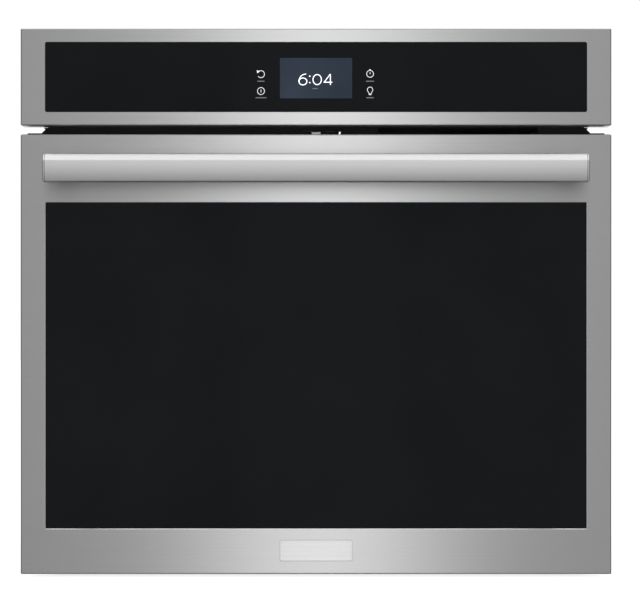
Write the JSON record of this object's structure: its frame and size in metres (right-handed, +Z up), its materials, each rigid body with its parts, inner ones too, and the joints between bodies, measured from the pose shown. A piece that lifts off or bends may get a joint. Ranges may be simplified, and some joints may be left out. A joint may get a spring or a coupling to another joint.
{
  "type": "wall oven",
  "caption": "Built-in single wall oven with a drop-down glass door, bar handle, black glass control panel, wire racks, elements and fans.",
  "frame": {"origin": "middle of the outline in X and Y, on the plane of the base rails", "axes": "+X to the viewer's right, +Y from the front to the back, +Z up"},
  "size_m": [0.762, 0.692, 0.7078],
  "materials": {
    "stainless": "horizontal brushed stainless",
    "black_glass": "gloss black printed glass",
    "clear_glass": "clear heat-reflecting pane",
    "galvanised": "galvanised sheet",
    "black_paint": "satin black paint",
    "enamel": "speckled dark enamel",
    "rack_wire": "bright nickel plate",
    "element_sheath": "oxidised heater sheath",
    "wool": "mineral wool with foil",
    "gasket_braid": "woven glass braid",
    "black_plastic": "moulded black plastic",
    "white_plastic": "moulded white plastic",
    "board_green": "circuit board lacquer",
    "display_blue": "lit clock display",
    "motor_steel": "laminated motor stack",
    "frosted_glass": "moulded lamp glass",
    "spring_steel": "oiled spring steel",
    "screw_zinc": "zinc plated screw",
    "badge_metal": "blank satin nameplate",
    "wheel_alloy": "pressed aluminium",
    "ceramic_base": "lamp holder ceramic"
  },
  "bodies": {
    "chassis": {"left_hinge_arm": "spring_steel", "right_hinge_arm": "spring_steel", "left_side_panel": "galvanised", "right_side_panel": "galvanised", "left_side_trim": "black_paint", "right_side_trim": "black_paint", "left_rack_support": "rack_wire", "right_rack_support": "rack_wire", "control_panel_frame": "stainless", "control_glass": "black_glass", "display_module": "display_blue", "control_board": "board_green", "base_pan": "galvanised", "rear_panel": "galvanised", "top_panel": "galvanised", "front_frame": "black_paint", "heat_shield": "galvanised", "chassis_screws": "screw_zinc", "oven_liner": "enamel", "insulation_blanket": "wool", "door_gasket": "gasket_braid", "bake_element": "element_sheath", "broil_element": "element_sheath", "convection_element": "element_sheath", "fan_cover": "enamel", "convection_motor": "motor_steel", "lamp_lens": "frosted_glass", "lamp_housing": "ceramic_base", "lamp_bulb": "frosted_glass", "temperature_probe": "rack_wire", "blower_housing": "galvanised", "blower_motor": "motor_steel", "conduit_gland": "screw_zinc", "latch_motor": "white_plastic", "door_switch": "black_plastic"},
    "door": {"door_skin": "stainless", "outer_glass": "black_glass", "middle_glass": "clear_glass", "inner_glass": "clear_glass", "pane_frame": "galvanised", "door_liner": "enamel", "door_top_trim": "black_paint", "handle_bar": "stainless", "handle_end_caps": "stainless", "handle_posts": "stainless", "handle_screws": "screw_zinc", "badge_plate": "badge_metal", "left_hinge_channel": "galvanised", "left_hinge_spring": "spring_steel", "right_hinge_channel": "galvanised", "right_hinge_spring": "spring_steel"},
    "left_rod": {"left_pull_rod": "spring_steel"},
    "right_rod": {"right_pull_rod": "spring_steel"},
    "lower_rack_body": {"lower_rack": "rack_wire"},
    "middle_rack_body": {"middle_rack": "rack_wire"},
    "upper_rack_body": {"upper_rack": "rack_wire"},
    "fan": {"convection_fan": "wheel_alloy"},
    "blower": {"blower_wheel": "wheel_alloy"},
    "latch": {"latch_hook": "galvanised"},
    "plunger": {"switch_plunger": "white_plastic"}
  },
  "joints": [
    {"name": "door_swing", "type": "hinge", "parent": "chassis", "child": "door", "pos_m": [0, -0.257, 0.018], "axis": [1, 0, 0], "range_deg": [0, 88], "stiffness_Nm_per_rad": 20, "springref_deg": -9.74},
    {"name": "left_rod_slide", "type": "slide", "parent": "door", "child": "left_rod", "axis": [0, 0, -1], "range_m": [0, 0.0068], "deforming": ["left_hinge_spring"]},
    {"name": "right_rod_slide", "type": "slide", "parent": "door", "child": "right_rod", "axis": [0, 0, -1], "range_m": [0, 0.0068], "deforming": ["right_hinge_spring"]},
    {"name": "switch_press", "type": "slide", "parent": "chassis", "child": "plunger", "axis": [0, -1, 0], "range_m": [0, 0.005]},
    {"name": "latch_turn", "type": "hinge", "parent": "chassis", "child": "latch", "pos_m": [0, -0.204, 0.574], "axis": [0, 0, 1], "range_deg": [0, 22]},
    {"name": "fan_spin", "type": "hinge", "parent": "chassis", "child": "fan", "pos_m": [0, 0.237, 0.3], "axis": [0, 1, 0], "continuous": true},
    {"name": "blower_spin", "type": "hinge", "parent": "chassis", "child": "blower", "pos_m": [0.185, -0.029, 0.62125], "axis": [1, 0, 0], "continuous": true},
    {"name": "lower_rack_slide", "type": "slide", "parent": "chassis", "child": "lower_rack_body", "axis": [0, -1, 0], "range_m": [0, 0.035]},
    {"name": "middle_rack_slide", "type": "slide", "parent": "chassis", "child": "middle_rack_body", "axis": [0, -1, 0], "range_m": [0, 0.035]},
    {"name": "upper_rack_slide", "type": "slide", "parent": "chassis", "child": "upper_rack_body", "axis": [0, -1, 0], "range_m": [0, 0.035]}
  ],
  "couplings": [
    {"joint": "left_rod_slide", "follows": "door_swing", "m_per_rad": 0.004399},
    {"joint": "right_rod_slide", "follows": "door_swing", "m_per_rad": 0.004399},
    {"joint": "switch_press", "follows": "door_swing", "m_per_rad": 0.00325}
  ]
}
